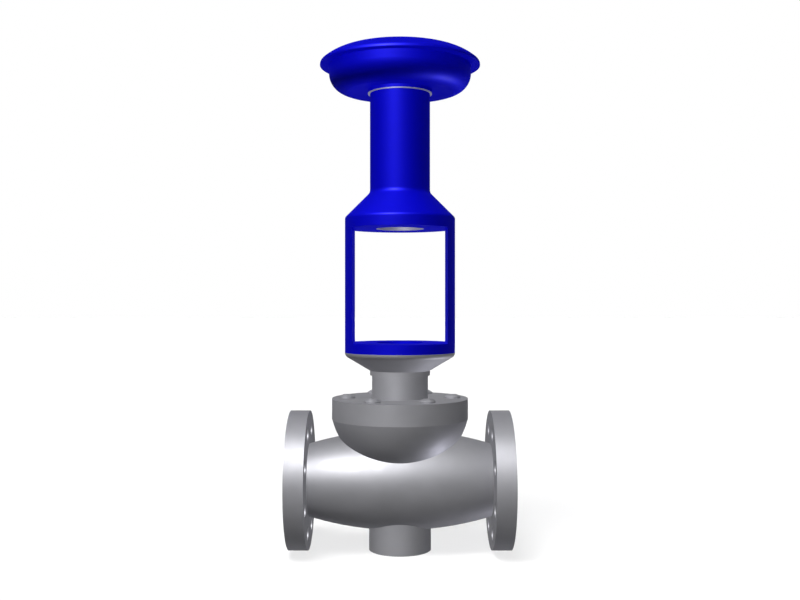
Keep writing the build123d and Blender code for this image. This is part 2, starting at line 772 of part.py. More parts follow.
# Diaphragm plate: a disc with a turned-down rim and a hub inside the spring
with BuildPart() as diaphragm_plate:
    plate_r = plate_dia / 2
    skirt_r = plate_r - plate_skirt
    outline = section(
        (stem_end_dia / 2 + fit_gap, hub_low_z),
        (plate_hub_dia / 2, hub_low_z),
        (plate_hub_dia / 2, plate_low_z),
        (skirt_r, plate_low_z),
        (skirt_r, skirt_low_z),
        (plate_r, skirt_low_z),
        (plate_r, plate_top_z),
        (stem_end_dia / 2 + fit_gap, plate_top_z),
    )
    revolve(outline, axis=Axis.Z)
    top_edge = edges().group_by(Axis.Z)[-1].sort_by(SortBy.RADIUS)[-1]
    fillet(top_edge, plate_edge_radius)

# Rolling diaphragm: flat on the plate, one U-shaped roll, clamped at the rim
pan_inner_r = pan_dia / 2 - casing_wall
rim_inner_r = rim_dia / 2 - rim_skirt
with BuildPart() as diaphragm:
    inner_leg_r = plate_r + diaphragm_side_gap
    outer_leg_r = pan_inner_r - diaphragm_side_gap / 2
    bend_z = plate_top_z - diaphragm_bend + diaphragm_thickness
    roll_z = skirt_low_z
    roll_r = (outer_leg_r - inner_leg_r) / 2
    roll_x = (outer_leg_r + inner_leg_r) / 2
    inner_roll_r = roll_r - diaphragm_thickness
    with BuildSketch(Plane.XZ):
        with BuildLine():
            start = (stem_end_dia / 2 + fit_gap, plate_top_z)
            bend_start = (inner_leg_r + diaphragm_thickness - diaphragm_bend, clamp_plate_z)
            bend_end = (inner_leg_r + diaphragm_thickness, bend_z)
            Polyline(start, (start[0], clamp_plate_z), bend_start)
            RadiusArc(bend_start, bend_end, diaphragm_bend)
            Line(bend_end, (bend_end[0], roll_z))
            inside = (outer_leg_r - diaphragm_thickness, roll_z)
            ThreePointArc((bend_end[0], roll_z), (roll_x, roll_z - inner_roll_r), inside)
            Polyline(
                inside,
                (inside[0], clamp_top_z),
                (rim_inner_r - fit_gap, clamp_top_z),
                (rim_inner_r - fit_gap, clamp_low_z),
                (outer_leg_r, clamp_low_z),
                (outer_leg_r, roll_z),
            )
            ThreePointArc((outer_leg_r, roll_z), (roll_x, roll_z - roll_r), (inner_leg_r, roll_z))
            under_bend = diaphragm_bend - diaphragm_thickness
            under_start = (inner_leg_r, bend_z)
            under_end = (inner_leg_r - under_bend, plate_top_z)
            Line((inner_leg_r, roll_z), under_start)
            RadiusArc(under_start, under_end, -under_bend)
            Line(under_end, start)
        make_face()
    revolve(axis=Axis.Z)

with BuildPart() as clamp_plate:
    revolve(ring(stem_end_dia + 2 * fit_gap, clamp_plate_dia, clamp_plate_z, stem_nut_z), axis=Axis.Z)
    fillet(edges().group_by(Axis.Z)[-1].sort_by(SortBy.RADIUS)[-1], clamp_plate_thickness / 2)

with BuildPart() as stem_nut:
    with BuildSketch(Plane.XY.offset(stem_nut_z)):
        RegularPolygon(hexagon(stem_nut_flats), 6)
        Circle(stem_end_dia / 2 + fit_gap, mode=Mode.SUBTRACT)
    extrude(amount=stem_nut_height)

# Lower casing: a dished pan with a thick collar on the barrel and a flat rim
with BuildPart() as lower_casing:
    pan_r = pan_dia / 2
    inner_edge_radius = pan_edge_radius - casing_wall
    edge_start_r = pan_r - pan_edge_radius
    with BuildSketch(Plane.XZ):
        with BuildLine():
            outer_low = (edge_start_r, pan_low_z)
            outer_high = (pan_r, pan_low_z + pan_edge_radius)
            inner_low = (edge_start_r, pan_low_z + casing_wall)
            inner_high = (pan_inner_r, pan_low_z + pan_edge_radius)
            Polyline(
                (liner_bore / 2, pan_floor_z),
                (liner_bore / 2, collar_low_z),
                (collar_dia / 2, collar_low_z),
                (collar_dia / 2, collar_top_z),
                outer_low,
            )
            RadiusArc(outer_low, outer_high, -pan_edge_radius)
            Polyline(
                outer_high,
                (pan_r, rim_low_z),
                (rim_inner_r - thread_gap, rim_low_z),
                (rim_inner_r - thread_gap, clamp_low_z),
                (pan_inner_r, clamp_low_z),
                inner_high,
            )
            RadiusArc(inner_high, inner_low, inner_edge_radius)
            Polyline(inner_low, (collar_dia / 2, pan_floor_z), (liner_bore / 2, pan_floor_z))
        make_face()
    revolve(axis=Axis.Z)
    with Locations((0, 0, pan_floor_z)):
        with PolarLocations(screw_circle, casing_screw_count):
            CounterBoreHole(
                casing_screw / 2 + thread_gap,
                casing_screw_head / 2 + thread_gap,
                casing_screw_head_height,
                depth=pan_floor_z - collar_low_z,
            )
    vent_z = (rim_low_z + pan_low_z + pan_edge_radius) / 2
    with Locations(Plane((0, pan_r, vent_z), z_dir=(0, 1, 0))):
        Hole(vent_thread / 2 + fit_gap, depth=2 * casing_wall)

# Cap screws that hold the pan and the liner's flange on the barrel
with BuildPart() as casing_screws:
    head_z = pan_floor_z - casing_screw_head_height
    screw_low_z = barrel_top_z - casing_screw_bite
    screw = section(
        (0, screw_low_z),
        (casing_screw / 2, screw_low_z),
        (casing_screw / 2, head_z),
        (casing_screw_head / 2, head_z),
        (casing_screw_head / 2, pan_floor_z),
        (0, pan_floor_z),
    )
    revolve(screw, axis=Axis.Z)
    with BuildSketch(Plane.XY.offset(pan_floor_z)):
        RegularPolygon(hexagon(casing_screw_head / 2), 6)
    extrude(amount=-casing_screw_head_height / 2, mode=Mode.SUBTRACT)
screw_places = PolarLocations(screw_circle, casing_screw_count).locations
casing_screw_set = Compound([place * casing_screws.part for place in screw_places])

# Upper casing: domed lid, a skirt over the pan's rim and a threaded air port on
# its top
with BuildPart() as upper_casing:
    rim_r = rim_dia / 2
    slope = radians(lid_edge_slope)
    dome_low_r = rim_r - rim_edge_radius * (1 - sin(slope))
    dome_low_z = lid_top_z - lid_dome_radius * (1 - cos(slope))
    flat_r = dome_low_r - lid_dome_radius * sin(slope)
    rim_top_z = dome_low_z - rim_edge_radius * cos(slope)
    chamber_edge_z = clamp_top_z + lid_chamber_rise
    with BuildSketch(Plane.XZ):
        with BuildLine():
            Polyline(
                (air_port / 2, recess_top_z),
                (air_port / 2, port_boss_top_z),
                (port_boss_dia / 2, port_boss_top_z),
                (port_boss_dia / 2, lid_top_z),
                (flat_r, lid_top_z),
            )
            RadiusArc((flat_r, lid_top_z), (dome_low_r, dome_low_z), lid_dome_radius)
            RadiusArc((dome_low_r, dome_low_z), (rim_r, rim_top_z), rim_edge_radius)
            Polyline(
                (rim_r, rim_top_z),
                (rim_r, rim_low_z),
                (rim_inner_r, rim_low_z),
                (rim_inner_r, clamp_top_z),
                (pan_inner_r, clamp_top_z),
                (pan_inner_r, chamber_edge_z),
                (flat_r + casing_wall, lid_ceiling_z),
                (nut_recess_dia / 2, lid_ceiling_z),
                (nut_recess_dia / 2, recess_top_z),
                (air_port / 2, recess_top_z),
            )
        make_face()
    revolve(axis=Axis.Z)
    boss_edge = edges().group_by(Axis.Z)[-1].sort_by(SortBy.RADIUS)[-1]
    fillet(boss_edge, port_boss_edge)

# Breather screwed into the back of the pan
with BuildPart() as vent_plug:
    with BuildSketch(Plane((0, pan_r + thread_gap, vent_z), z_dir=(0, 1, 0))):
        RegularPolygon(hexagon(vent_head_flats), 6, rotation=30)
    extrude(amount=vent_head_length)
    with BuildSketch(Plane((0, pan_r + thread_gap, vent_z), z_dir=(0, 1, 0))):
        Circle(vent_thread / 2)
    extrude(amount=-casing_wall)
    with Locations(Plane((0, pan_r + vent_head_length, vent_z), z_dir=(0, 1, 0))):
        Hole(vent_bore / 2)

pieces = {
    "valve_body": valve_body.part,
    "drain_plug": drain_plug.part,
    "seat_ring": seat_ring.part,
    "seat_ring_gasket": seat_ring_gasket.part,
    "valve_plug": valve_plug.part,
    "valve_stem": valve_stem.part,
    "plug_pin": plug_pin.part,
    "bonnet": bonnet.part,
    "bonnet_gasket": bonnet_gasket.part,
    "bonnet_bolts": bonnet_bolt_set,
    "stem_bush": stem_bush.part,
    "packing_rings": packing_rings.part,
    "packing_follower": packing_follower.part,
    "gland_nut": gland_nut.part,
    "yoke_adapter": yoke_adapter.part,
    "yoke_nut": yoke_nut.part,
    "yoke": yoke.part,
    "barrel_liner": barrel_liner.part,
    "retaining_ring": retaining_ring.part,
    "guide_tube": guide_tube.part,
    "guide_bush": guide_bush.part,
    "return_spring": return_spring.part,
    "actuator_stem": actuator_stem.part,
    "stem_connector": stem_connector.part,
    "connector_screws": connector_screws.part,
    "diaphragm_plate": diaphragm_plate.part,
    "diaphragm": diaphragm.part,
    "clamp_plate": clamp_plate.part,
    "stem_nut": stem_nut.part,
    "lower_casing": lower_casing.part,
    "casing_screws": casing_screw_set,
    "upper_casing": upper_casing.part,
    "vent_plug": vent_plug.part,
}

os.makedirs("parts", exist_ok=True)
for name, piece in pieces.items():
    piece.label = name
    export_step(piece, f"parts/{name}.step")
print("height", round(port_boss_top_z, 2), "connector travel", round(connector_travel, 2))
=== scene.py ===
import json
from math import ceil, cos, pi, radians, sin

import bmesh
import bpy
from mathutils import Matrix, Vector


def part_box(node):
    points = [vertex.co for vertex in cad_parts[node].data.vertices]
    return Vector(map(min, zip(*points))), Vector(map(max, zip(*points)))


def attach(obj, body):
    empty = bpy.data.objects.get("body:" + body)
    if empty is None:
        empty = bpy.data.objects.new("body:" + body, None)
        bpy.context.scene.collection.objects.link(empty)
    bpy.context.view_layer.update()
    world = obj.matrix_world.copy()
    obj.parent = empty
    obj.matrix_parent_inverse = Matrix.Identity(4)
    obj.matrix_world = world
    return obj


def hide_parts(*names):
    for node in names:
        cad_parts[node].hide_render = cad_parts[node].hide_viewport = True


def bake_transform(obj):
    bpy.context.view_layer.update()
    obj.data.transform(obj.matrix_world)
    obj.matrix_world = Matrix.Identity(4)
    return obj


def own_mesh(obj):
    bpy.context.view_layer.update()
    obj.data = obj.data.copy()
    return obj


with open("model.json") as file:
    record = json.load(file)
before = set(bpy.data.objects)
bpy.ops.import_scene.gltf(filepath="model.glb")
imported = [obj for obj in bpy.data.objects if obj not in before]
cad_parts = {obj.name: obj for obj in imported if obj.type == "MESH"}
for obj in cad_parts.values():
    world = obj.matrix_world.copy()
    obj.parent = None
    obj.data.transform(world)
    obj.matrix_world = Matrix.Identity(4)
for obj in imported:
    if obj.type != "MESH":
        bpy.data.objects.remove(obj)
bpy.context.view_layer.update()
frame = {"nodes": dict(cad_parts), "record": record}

# Metres and radians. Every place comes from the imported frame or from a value
# named here, which repeats a driving dimension of the part.
MM = 0.001
TAU = 2 * pi


# Node materials

def new_material(name):
    """A material with its node tree and its surface shader."""
    material = bpy.data.materials.new(name)
    material.use_nodes = True
    tree = material.node_tree
    return material, tree, tree.nodes["Principled BSDF"]


def connect(tree, node, name, value):
    """Sets one input socket of a node, by its name, or by its number as n0, n1."""
    key = int(name[1:]) if name[0] == "n" and name[1:].isdigit() else name
    if isinstance(value, bpy.types.NodeSocket):
        tree.links.new(value, node.inputs[key])
    else:
        node.inputs[key].default_value = value


def add(tree, kind, settings=None, **sockets):
    """A node with its settings; a socket takes a value or another node's output."""
    node = tree.nodes.new(kind)
    for name, value in (settings or {}).items():
        setattr(node, name, value)
    for name, value in sockets.items():
        connect(tree, node, name.replace("_", " "), value)
    return node


def dress(surface, **sockets):
    """Plain values on the shader's own sockets."""
    for name, value in sockets.items():
        surface.inputs[name.replace("_", " ")].default_value = value


def place(tree):
    """Position on the object at rest, in metres."""
    return add(tree, "ShaderNodeTexCoord").outputs["Object"]


def noise(tree, scale, detail=3.0, roughness=0.5, vector=None):
    """Noise from 0 to 1, scale in waves per metre."""
    at = place(tree) if vector is None else vector
    return add(tree, "ShaderNodeTexNoise", Vector=at, Scale=scale, Detail=detail,
               Roughness=roughness).outputs["Fac"]


def spread(tree, value, low, high, start=0.3, end=0.7):
    """A value from start to end, stretched to low to high."""
    return add(tree, "ShaderNodeMapRange", Value=value, From_Min=start, From_Max=end,
               To_Min=low, To_Max=high).outputs["Result"]


def varied(tree, scale, low, high, detail=3.0):
    """A value that drifts between low and high, scale in waves per metre."""
    return spread(tree, noise(tree, scale, detail), low, high)


def blend_colours(tree, amount, first, second):
    """The first colour at 0, the second at 1, on the Mix node's colour sockets."""
    node = add(tree, "ShaderNodeMix", {"data_type": "RGBA"}, n0=amount, n6=first, n7=second)
    return node.outputs[2]


def calculate(tree, operation, first, second=0.0):
    """One sum on two values."""
    node = add(tree, "ShaderNodeMath", {"operation": operation}, n0=first, n1=second)
    return node.outputs[0]


def bump(tree, height, depth, strength, under=None):
    """A relief of that depth in metres, on top of another one."""
    node = add(tree, "ShaderNodeBump", Height=height, Distance=depth, Strength=strength)
    if under is not None:
        connect(tree, node, "Normal", under)
    return node.outputs["Normal"]


def shade(colour, factor):
    """A colour made lighter or darker, with its alpha."""
    return (*(min(1.0, channel * factor) for channel in colour), 1.0)


def mottled(tree, colour, scale, detail, dark, light):
    """A colour that drifts between a darker and a lighter shade of it."""
    return blend_colours(tree, varied(tree, scale, 0.0, 1.0, detail), shade(colour, dark),
                         shade(colour, light))


def worn_edges(tree, radius):
    """1 on outer and inner edges, 0 on plain faces."""
    rounded = add(tree, "ShaderNodeBevel", {"samples": 4}, Radius=radius).outputs["Normal"]
    plain = add(tree, "ShaderNodeNewGeometry").outputs["Normal"]
    turn = add(tree, "ShaderNodeVectorMath", {"operation": "DOT_PRODUCT"}, n0=rounded, n1=plain)
    return spread(tree, turn.outputs["Value"], 1.0, 0.0, start=0.75, end=0.98)


def enamel(name, colour):
    """Sprayed satin enamel: a faint orange peel over the casting, thin on edges."""
    material, tree, surface = new_material(name)
    base = mottled(tree, colour, scale=9, detail=4, dark=0.94, light=1.05)
    thin = varied(tree, scale=130, low=0.0, high=0.3)
    edges = calculate(tree, "MULTIPLY", worn_edges(tree, 0.9 * MM), thin)
    worn = blend_colours(tree, edges, base, shade(colour, 0.72))
    connect(tree, surface, "Base Color", worn)
    connect(tree, surface, "Roughness", varied(tree, scale=40, low=0.5, high=0.58, detail=4))
    dress(surface, Metallic=0.08, Specular_IOR_Level=0.0, Specular_Tint=ENAMEL_TINT,
          Coat_Weight=0.034, Coat_Roughness=0.45)
    skin = bump(tree, noise(tree, 55, detail=2), depth=0.35 * MM, strength=0.25)
    peel = bump(tree, noise(tree, 420, detail=1), depth=0.05 * MM, strength=0.5, under=skin)
    connect(tree, surface, "Normal", peel)
    return material


def cast_steel(name, colour):
    """Blasted steel casting under a thin satin grey coat, with machined joint faces."""
    material, tree, surface = new_material(name)
    base = mottled(tree, colour, scale=12, detail=5, dark=0.93, light=1.06)
    bare = varied(tree, scale=150, low=0.1, high=0.7)
    edges = calculate(tree, "MULTIPLY", worn_edges(tree, 0.8 * MM), bare)
    steel = shade(colour, 1.35)
    coat = blend_colours(tree, edges, base, steel)
    machined = joint_faces(tree)
    connect(tree, surface, "Base Color", blend_colours(tree, machined, coat, steel))
    connect(tree, surface, "Roughness", varied(tree, scale=60, low=0.51, high=0.58, detail=4))
    shine = spread(tree, machined, 0.145, 0.19, start=0.0, end=1.0)
    connect(tree, surface, "Metallic", shine)
    dress(surface, Specular_IOR_Level=0.0, Specular_Tint=STEEL_TINT)
    grit = noise(tree, 700, detail=3, roughness=0.65)
    grain = bump(tree, grit, depth=0.12 * MM, strength=0.1)
    swell = bump(tree, noise(tree, 45, detail=2), depth=0.5 * MM, strength=0.1, under=grain)
    grooves = calculate(tree, "MULTIPLY", gasket_grooves(tree), machined)
    relief = bump(tree, grooves, depth=0.2 * MM, strength=0.6, under=swell)
    connect(tree, surface, "Normal", relief)
    return material


def joint_faces(tree):
    """1 on the two outer flange faces, which are turned, and 0 elsewhere."""
    face_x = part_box("valve_body")[1].x
    along = add(tree, "ShaderNodeSeparateXYZ", Vector=place(tree)).outputs["X"]
    away = calculate(tree, "ABSOLUTE", along)
    return spread(tree, away, 0.0, 1.0, start=face_x - 0.2 * MM, end=face_x - 0.1 * MM)


def gasket_grooves(tree):
    """Fine rings about the pipe's axis, as the joint faces are turned."""
    axis_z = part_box("valve_body")[0].z + PIPE_AXIS_Z
    apart = add(tree, "ShaderNodeSeparateXYZ", Vector=place(tree))
    rise = calculate(tree, "SUBTRACT", apart.outputs["Z"], axis_z)
    flat = add(tree, "ShaderNodeCombineXYZ", X=apart.outputs["Y"], Y=rise)
    rings = add(tree, "ShaderNodeTexWave", {"wave_type": "RINGS", "rings_direction": "SPHERICAL"},
                Vector=flat.outputs[0], Scale=220.0, Distortion=0.0)
    return rings.outputs["Fac"]


def turned_metal(name, colour, rough, metallic):
    """Metal turned on a lathe: fine rings about the stem axis."""
    material, tree, surface = new_material(name)
    apart = add(tree, "ShaderNodeSeparateXYZ", Vector=place(tree))
    level = add(tree, "ShaderNodeCombineXYZ", X=apart.outputs["X"], Y=apart.outputs["Y"])
    radius = add(tree, "ShaderNodeVectorMath", {"operation": "LENGTH"}, n0=level.outputs[0])
    track = add(tree, "ShaderNodeCombineXYZ", X=radius.outputs["Value"], Y=apart.outputs["Z"])
    cuts = noise(tree, 900, detail=3, roughness=0.6, vector=track.outputs[0])
    tone = mottled(tree, colour, scale=25, detail=4, dark=0.9, light=1.08)
    connect(tree, surface, "Base Color", tone)
    connect(tree, surface, "Roughness", spread(tree, cuts, rough - 0.06, rough + 0.08))
    dress(surface, Metallic=metallic, Specular_IOR_Level=0.0)
    connect(tree, surface, "Normal", bump(tree, cuts, depth=0.04 * MM, strength=0.3))
    return material


def plain_metal(name, colour, rough, metallic):
    """Drawn or forged metal with a light grain and brighter edges."""
    material, tree, surface = new_material(name)
    base = mottled(tree, colour, scale=80, detail=4, dark=0.86, light=1.1)
    bright = blend_colours(tree, worn_edges(tree, 0.5 * MM), base, shade(colour, 1.5))
    connect(tree, surface, "Base Color", bright)
    connect(tree, surface, "Roughness", varied(tree, 260, rough - 0.07, rough + 0.08))
    dress(surface, Metallic=metallic, Specular_IOR_Level=0.0, Specular_Tint=STEEL_TINT)
    grain = bump(tree, noise(tree, 900, detail=2), depth=0.03 * MM, strength=0.4)
    connect(tree, surface, "Normal", grain)
    return material


def pressed(name, colour, rough, grain):
    """Rubber, gasket sheet or graphite: matte, with a fine grain."""
    material, tree, surface = new_material(name)
    tone = mottled(tree, colour, scale=grain / 4, detail=4, dark=0.8, light=1.25)
    connect(tree, surface, "Base Color", tone)
    connect(tree, surface, "Roughness", varied(tree, grain, rough - 0.08, rough + 0.06))
    dress(surface, Specular_IOR_Level=0.35)
    relief = bump(tree, noise(tree, grain, detail=2), depth=0.06 * MM, strength=0.5)
    connect(tree, surface, "Normal", relief)
    return material


# Height of the pipe's axis above the foot, tints of the sheen, and base colours
PIPE_AXIS_Z = 110.5 * MM
ENAMEL_TINT = (0.03, 0.03, 0.6, 1.0)
STEEL_TINT = (0.3, 0.3, 0.3, 1.0)

BLUE = (0.0006, 0.0006, 0.5)
GREY = (0.247, 0.247, 0.263)
BOLT_GREY = (0.26, 0.26, 0.278)
STAINLESS = (0.42, 0.42, 0.43)
LINER_GREY = (0.34, 0.34, 0.395)
SPRING_BLACK = (0.12, 0.12, 0.13)
BRONZE = (0.55, 0.36, 0.14)
GRAPHITE = (0.06, 0.06, 0.065)
GASKET = (0.2, 0.21, 0.22)
RUBBER = (0.03, 0.03, 0.033)

finishes = {
    "blue_enamel": enamel("blue_enamel", BLUE),
    "cast_steel": cast_steel("cast_steel", GREY),
    "bolt_steel": plain_metal("bolt_steel", BOLT_GREY, rough=0.5, metallic=0.13),
    "stainless": turned_metal("stainless", STAINLESS, rough=0.48, metallic=0.06),
    "liner_steel": turned_metal("liner_steel", LINER_GREY, rough=0.42, metallic=0.14),
    "spring_steel": plain_metal("spring_steel", SPRING_BLACK, rough=0.4, metallic=0.2),
    "bronze": turned_metal("bronze", BRONZE, rough=0.48, metallic=0.12),
    "graphite": pressed("graphite", GRAPHITE, rough=0.55, grain=1500.0),
    "gasket": pressed("gasket", GASKET, rough=0.6, grain=900.0),
    "rubber": pressed("rubber", RUBBER, rough=0.62, grain=1200.0),
}


def finish(piece, slot):
    """Gives a piece its slot's material."""
    piece.data.materials.clear()
    piece.data.materials.append(finishes[slot])


for row in frame["record"]["subparts"]:
    finish(frame["nodes"][row["node"]], row["material_slot"])


# Pieces that stand for CAD nodes: the spring with closed ends, the diaphragm,
# which rolls between pan and plate, and the stems with their threads. The air
# port's thread is added.

# Mesh: sides of a stem, a sheet and a wire, steps in a coil's turn and in the
# diaphragm's leg, how far apart two points are still one, and from how many
# degrees an edge is sharp
STEM_SIDES = 48
SHEET_SIDES = 160
WIRE_SIDES = 14
TURN_STEPS = 60
LEG_STEPS = 10
WELD = 1e-6
SHARP_ANGLE = 35

# Diaphragm: sheet thickness, bend at the plate's edge, gaps beside the roll,
# room between plate and pan, depth of the roll's centre and of the clamped rim
# below the plate's top, and the play at its outer and inner edge
SHEET = 1.6 * MM
SHEET_BEND = 1.7 * MM
SHEET_GAP = 1.2 * MM
ROLL_WIDTH = 16.8 * MM
PLATE_DEPTH = 10.0 * MM
CLAMP_DROP = 4.4 * MM
SHEET_PLAY = 0.1 * MM

SPRING_WIRE = 7.0 * MM
SPRING_TURNS = 9
CLOSED_PITCH = 7.1 * MM

# Stems: the thread, the ends, and the lengths of thread from the end
THREAD_PITCH = 1.5 * MM
THREAD_DEPTH = 0.92 * MM
STEM_CHAMFER = 1.5 * MM
STEM_END_RADIUS = 8.0 * MM
END_CHAMFER = 1.0 * MM
VALVE_STEM_THREAD = 45.0 * MM
ACTUATOR_STEM_THREAD = 191.0 * MM

# Air port: its thread, and how far below the boss the thread starts
PORT_RADIUS = 5.69 * MM
PORT_PITCH = 1.34 * MM
PORT_DEPTH = 0.7 * MM
PORT_LEAD = 0.8 * MM
PORT_THREAD = 9.0 * MM


def around(radius, height, count=STEM_SIDES):
    """Points on a level circle about the stem axis."""
    turns = [TAU * i / count for i in range(count)]
    return [(radius * cos(turn), radius * sin(turn), height) for turn in turns]


def join_rings(mesh, rings, loop=False, caps=False):
    """Faces from each ring of points to the next one."""
    rows = [[mesh.verts.new(point) for point in ring] for ring in rings]
    pairs = list(zip(rows, rows[1:])) + ([(rows[-1], rows[0])] if loop else [])
    for first, second in pairs:
        for i, corner in enumerate(first):
            mesh.faces.new((first[i - 1], corner, second[i], second[i - 1]))
    if caps:
        mesh.faces.new(rows[0])
        mesh.faces.new(rows[-1])


def cut_thread(mesh, low, high, radius, depth, pitch):
    """A helical thread between two heights, which runs out to its outer radius.

    Each pitch has two rows of points, one on the crest and one in the root. They
    start a pitch below the thread and end above it.
    """
    rows = []
    for row in range(2 * ceil((high - low) / pitch) + 6):
        cut = radius if row % 2 == 0 else radius - depth
        points = []
        for i in range(STEM_SIDES):
            turn = TAU * i / STEM_SIDES
            height = low + (row / 2 - 1 + i / STEM_SIDES) * pitch
            held = min(max(height, low), high)
            here = cut if held == height else radius
            points.append((here * cos(turn), here * sin(turn), held))
        rows.append([mesh.verts.new(point) for point in points])
    for row in range(len(rows) - 3):
        lower, upper = rows[row], rows[row + 1]
        for i in range(STEM_SIDES - 1):
            mesh.faces.new((lower[i], lower[i + 1], upper[i + 1], upper[i]))
        mesh.faces.new((lower[-1], rows[row + 2][0], rows[row + 3][0], upper[-1]))


def to_piece(name, mesh, slot, nodes=()):
    """A piece made from the mesh, in a slot's finish, that stands for CAD nodes."""
    bmesh.ops.remove_doubles(mesh, verts=mesh.verts, dist=WELD)
    bmesh.ops.recalc_face_normals(mesh, faces=mesh.faces)
    data = bpy.data.meshes.new(name)
    mesh.to_mesh(data)
    mesh.free()
    for polygon in data.polygons:
        polygon.use_smooth = True
    data.set_sharp_from_angle(angle=radians(SHARP_ANGLE))
    piece = bpy.data.objects.new(name, data)
    bpy.context.scene.collection.objects.link(piece)
    finish(piece, slot)
    if nodes:
        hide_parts(*nodes)
    return piece


def coil_spring():
    """Round wire with one closed and ground turn at each end."""
    low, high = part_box("return_spring")
    radius = (high.x - low.x - SPRING_WIRE) / 2
    start = low.z + SPRING_WIRE / 4
    open_turns = SPRING_TURNS - 2
    open_pitch = (high.z - low.z - SPRING_WIRE / 2 - 2 * CLOSED_PITCH) / open_turns
    rings = []
    for step in range(SPRING_TURNS * TURN_STEPS + 1):
        turn = step / TURN_STEPS
        opened = min(max(turn - 1, 0), open_turns)
        rise = start + turn * CLOSED_PITCH + opened * (open_pitch - CLOSED_PITCH)
        outward = Vector((cos(TAU * turn), sin(TAU * turn), 0))
        slope = open_pitch if 0 < opened < open_turns else CLOSED_PITCH
        along = Vector((-TAU * radius * outward.y, TAU * radius * outward.x, slope)).normalized()
        upward = outward.cross(along)
        ring = []
        for i in range(WIRE_SIDES):
            angle = TAU * i / WIRE_SIDES
            side = outward * cos(angle) + upward * sin(angle)
            point = outward * radius + Vector((0, 0, rise)) + side * SPRING_WIRE / 2
            ring.append((point.x, point.y, min(max(point.z, low.z), high.z)))
        rings.append(ring)
    mesh = bmesh.new()
    join_rings(mesh, rings, caps=True)
    spring = to_piece("spring", mesh, "spring_steel", ["return_spring"])
    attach(spring, "housing")
    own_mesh(spring)


def rubber_sheet(name, path):
    """A turned sheet of even thickness along a line of (radius, height) points."""
    above, below = [], []
    for i, (radius, height) in enumerate(path):
        before, after = path[max(i - 1, 0)], path[min(i + 1, len(path) - 1)]
        away = Vector((before[1] - after[1], after[0] - before[0])).normalized() * SHEET / 2
        above.append(around(radius + away.x, height + away.y, SHEET_SIDES))
        below.append(around(radius - away.x, height - away.y, SHEET_SIDES))
    mesh = bmesh.new()
    join_rings(mesh, above + below[::-1], loop=True)
    return to_piece(name, mesh, "rubber", ["diaphragm"])


def bow(centre, radius, start, end, steps):
    """Points on an arc in the plane of radius and height, angles in degrees."""
    angles = [radians(start + (end - start) * i / steps) for i in range(steps + 1)]
    return [(centre[0] + radius * cos(angle), centre[1] + radius * sin(angle))
            for angle in angles]


def rolling_diaphragm():
    """The clamped rim with the outer half of the roll, and the rest, which rolls."""
    plate_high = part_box("diaphragm_plate")[1]
    rim_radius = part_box("diaphragm")[1].x - SHEET_PLAY
    half = SHEET / 2
    inner = plate_high.x + SHEET_GAP + half
    outer = plate_high.x + ROLL_WIDTH - SHEET_GAP / 2 - half
    centre = ((inner + outer) / 2, plate_high.z - PLATE_DEPTH)
    radius = (outer - inner) / 2
    clamp = plate_high.z - CLAMP_DROP
    rim = rubber_sheet("diaphragm_rim", [
        *bow(centre, radius, 270, 360, steps=16),
        *bow((outer + half, clamp - half), half, 180, 90, steps=6),
        (rim_radius, clamp),
    ])
    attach(rim, "housing")
    top = plate_high.z + half
    leg_height = top - SHEET_BEND - centre[1]
    roll = rubber_sheet("diaphragm_roll", [
        *bow(centre, radius, 270, 180, steps=16),
        *((inner, centre[1] + leg_height * i / LEG_STEPS) for i in range(1, LEG_STEPS)),
        *bow((inner - SHEET_BEND, top - SHEET_BEND), SHEET_BEND, 0, 90, steps=8),
        (plate_high.x / 2, top),
        (STEM_END_RADIUS + SHEET_PLAY, top),
    ])
    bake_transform(roll)


def valve_stem():
    """The stem of the plug, threaded where the connector holds it."""
    low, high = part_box("valve_stem")
    thread_low, thread_high = high.z - VALVE_STEM_THREAD, high.z - STEM_CHAMFER
    mesh = bmesh.new()
    join_rings(mesh, [around(0.0, low.z), around(high.x, low.z), around(high.x, thread_low)])
    cut_thread(mesh, thread_low, thread_high, high.x, THREAD_DEPTH, THREAD_PITCH)
    join_rings(mesh, [around(high.x, thread_high), around(high.x - STEM_CHAMFER, high.z),
                      around(0.0, high.z)])
    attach(to_piece("threaded_valve_stem", mesh, "stainless", ["valve_stem"]), "plug")


def actuator_stem():
    """The diaphragm's stem, threaded below for the connector and above for its nut."""
    low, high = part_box("actuator_stem")
    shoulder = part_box("diaphragm_plate")[0].z
    nut_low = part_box("stem_nut")[0].z
    thread_low, thread_high = low.z + STEM_CHAMFER, low.z + ACTUATOR_STEM_THREAD
    end_low, end_high = nut_low - THREAD_PITCH, high.z - END_CHAMFER
    mesh = bmesh.new()
    join_rings(mesh, [around(0.0, low.z), around(high.x - STEM_CHAMFER, low.z),
                      around(high.x, thread_low)])
    cut_thread(mesh, thread_low, thread_high, high.x, THREAD_DEPTH, THREAD_PITCH)
    join_rings(mesh, [around(high.x, thread_high), around(high.x, shoulder),
                      around(STEM_END_RADIUS, shoulder), around(STEM_END_RADIUS, end_low)])
    cut_thread(mesh, end_low, end_high, STEM_END_RADIUS, THREAD_DEPTH, THREAD_PITCH)
    join_rings(mesh, [around(STEM_END_RADIUS, end_high),
                      around(STEM_END_RADIUS - END_CHAMFER, high.z), around(0.0, high.z)])
    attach(to_piece("threaded_actuator_stem", mesh, "stainless", ["actuator_stem"]), "actuator")


def port_thread():
    """The thread inside the air port, as a thin sleeve against its bore."""
    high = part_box("upper_casing")[1].z - PORT_LEAD
    mesh = bmesh.new()
    cut_thread(mesh, high - PORT_THREAD, high, PORT_RADIUS, PORT_DEPTH, PORT_PITCH)
    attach(to_piece("air_port_thread", mesh, "bolt_steel"), "housing")


coil_spring()
rolling_diaphragm()
valve_stem()
actuator_stem()
port_thread()


